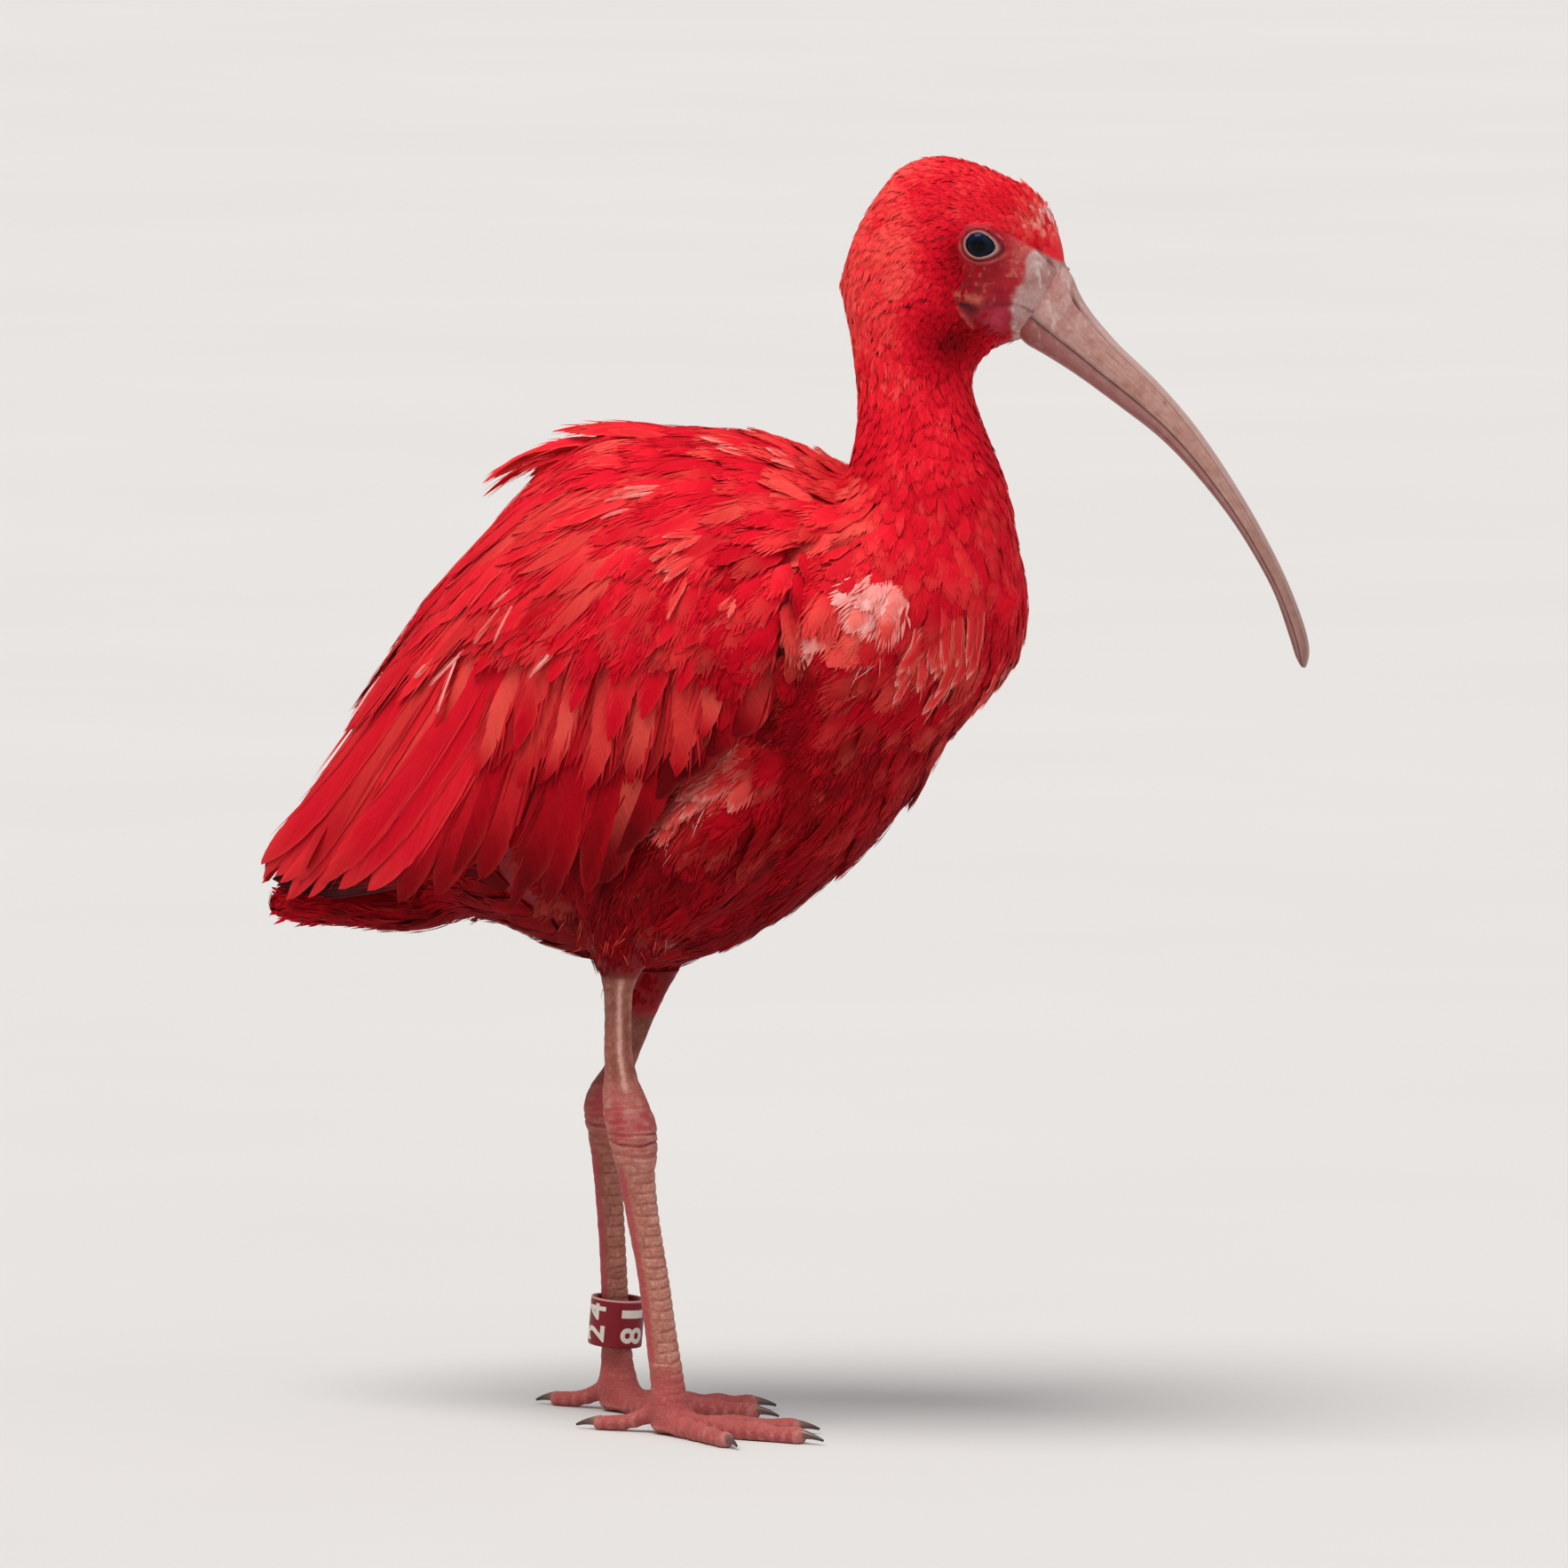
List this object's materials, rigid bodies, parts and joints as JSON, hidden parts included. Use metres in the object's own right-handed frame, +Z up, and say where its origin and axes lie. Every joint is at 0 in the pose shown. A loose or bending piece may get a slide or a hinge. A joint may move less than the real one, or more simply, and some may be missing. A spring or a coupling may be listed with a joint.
{
  "type": "scarlet ibis",
  "caption": "Life-size still model of a standing scarlet ibis with long down-curved bill, folded wings, parted legs and a ring on one leg.",
  "frame": {"origin": "on the floor under the middle of the bird's whole length and width", "axes": "+X the way the body faces, +Y to the bird's left, +Z up"},
  "size_m": [0.3476, 0.1292, 0.402],
  "materials": {
    "scarlet_feathers": "soft short contour feathers, scarlet, dull sheen",
    "wing_feathers": "smooth overlapping vanes, scarlet with paler pink edges",
    "leg_skin": "dry scaly bare skin, salmon pink, cross plates in front",
    "bill_horn": "satin horn, pinkish grey brown, fine lengthwise grooves",
    "claw_horn": "satin dark horn",
    "eye": "wet gloss, near black",
    "ring_plastic": "engraved two-layer plastic, dark crimson with cream figures"
  },
  "bodies": {
    "root": {"head": "scarlet_feathers", "eye_right": "eye", "eye_left": "eye", "bill_upper": "bill_horn", "bill_lower": "bill_horn", "neck_upper": "scarlet_feathers", "neck_lower": "scarlet_feathers", "trunk": "scarlet_feathers", "wing_right": "wing_feathers", "wing_left": "wing_feathers", "tail": "wing_feathers", "thigh_right": "scarlet_feathers", "shank_right": "leg_skin", "tarsus_right": "leg_skin", "foot_right": "leg_skin", "toe_inner_right": "leg_skin", "claw_inner_right": "claw_horn", "toe_middle_right": "leg_skin", "claw_middle_right": "claw_horn", "toe_outer_right": "leg_skin", "claw_outer_right": "claw_horn", "toe_hind_right": "leg_skin", "claw_hind_right": "claw_horn", "thigh_left": "scarlet_feathers", "shank_left": "leg_skin", "tarsus_left": "leg_skin", "foot_left": "leg_skin", "toe_inner_left": "leg_skin", "claw_inner_left": "claw_horn", "toe_middle_left": "leg_skin", "claw_middle_left": "claw_horn", "toe_outer_left": "leg_skin", "claw_outer_left": "claw_horn", "toe_hind_left": "leg_skin", "claw_hind_left": "claw_horn", "leg_band": "ring_plastic"}
  },
  "joints": []
}
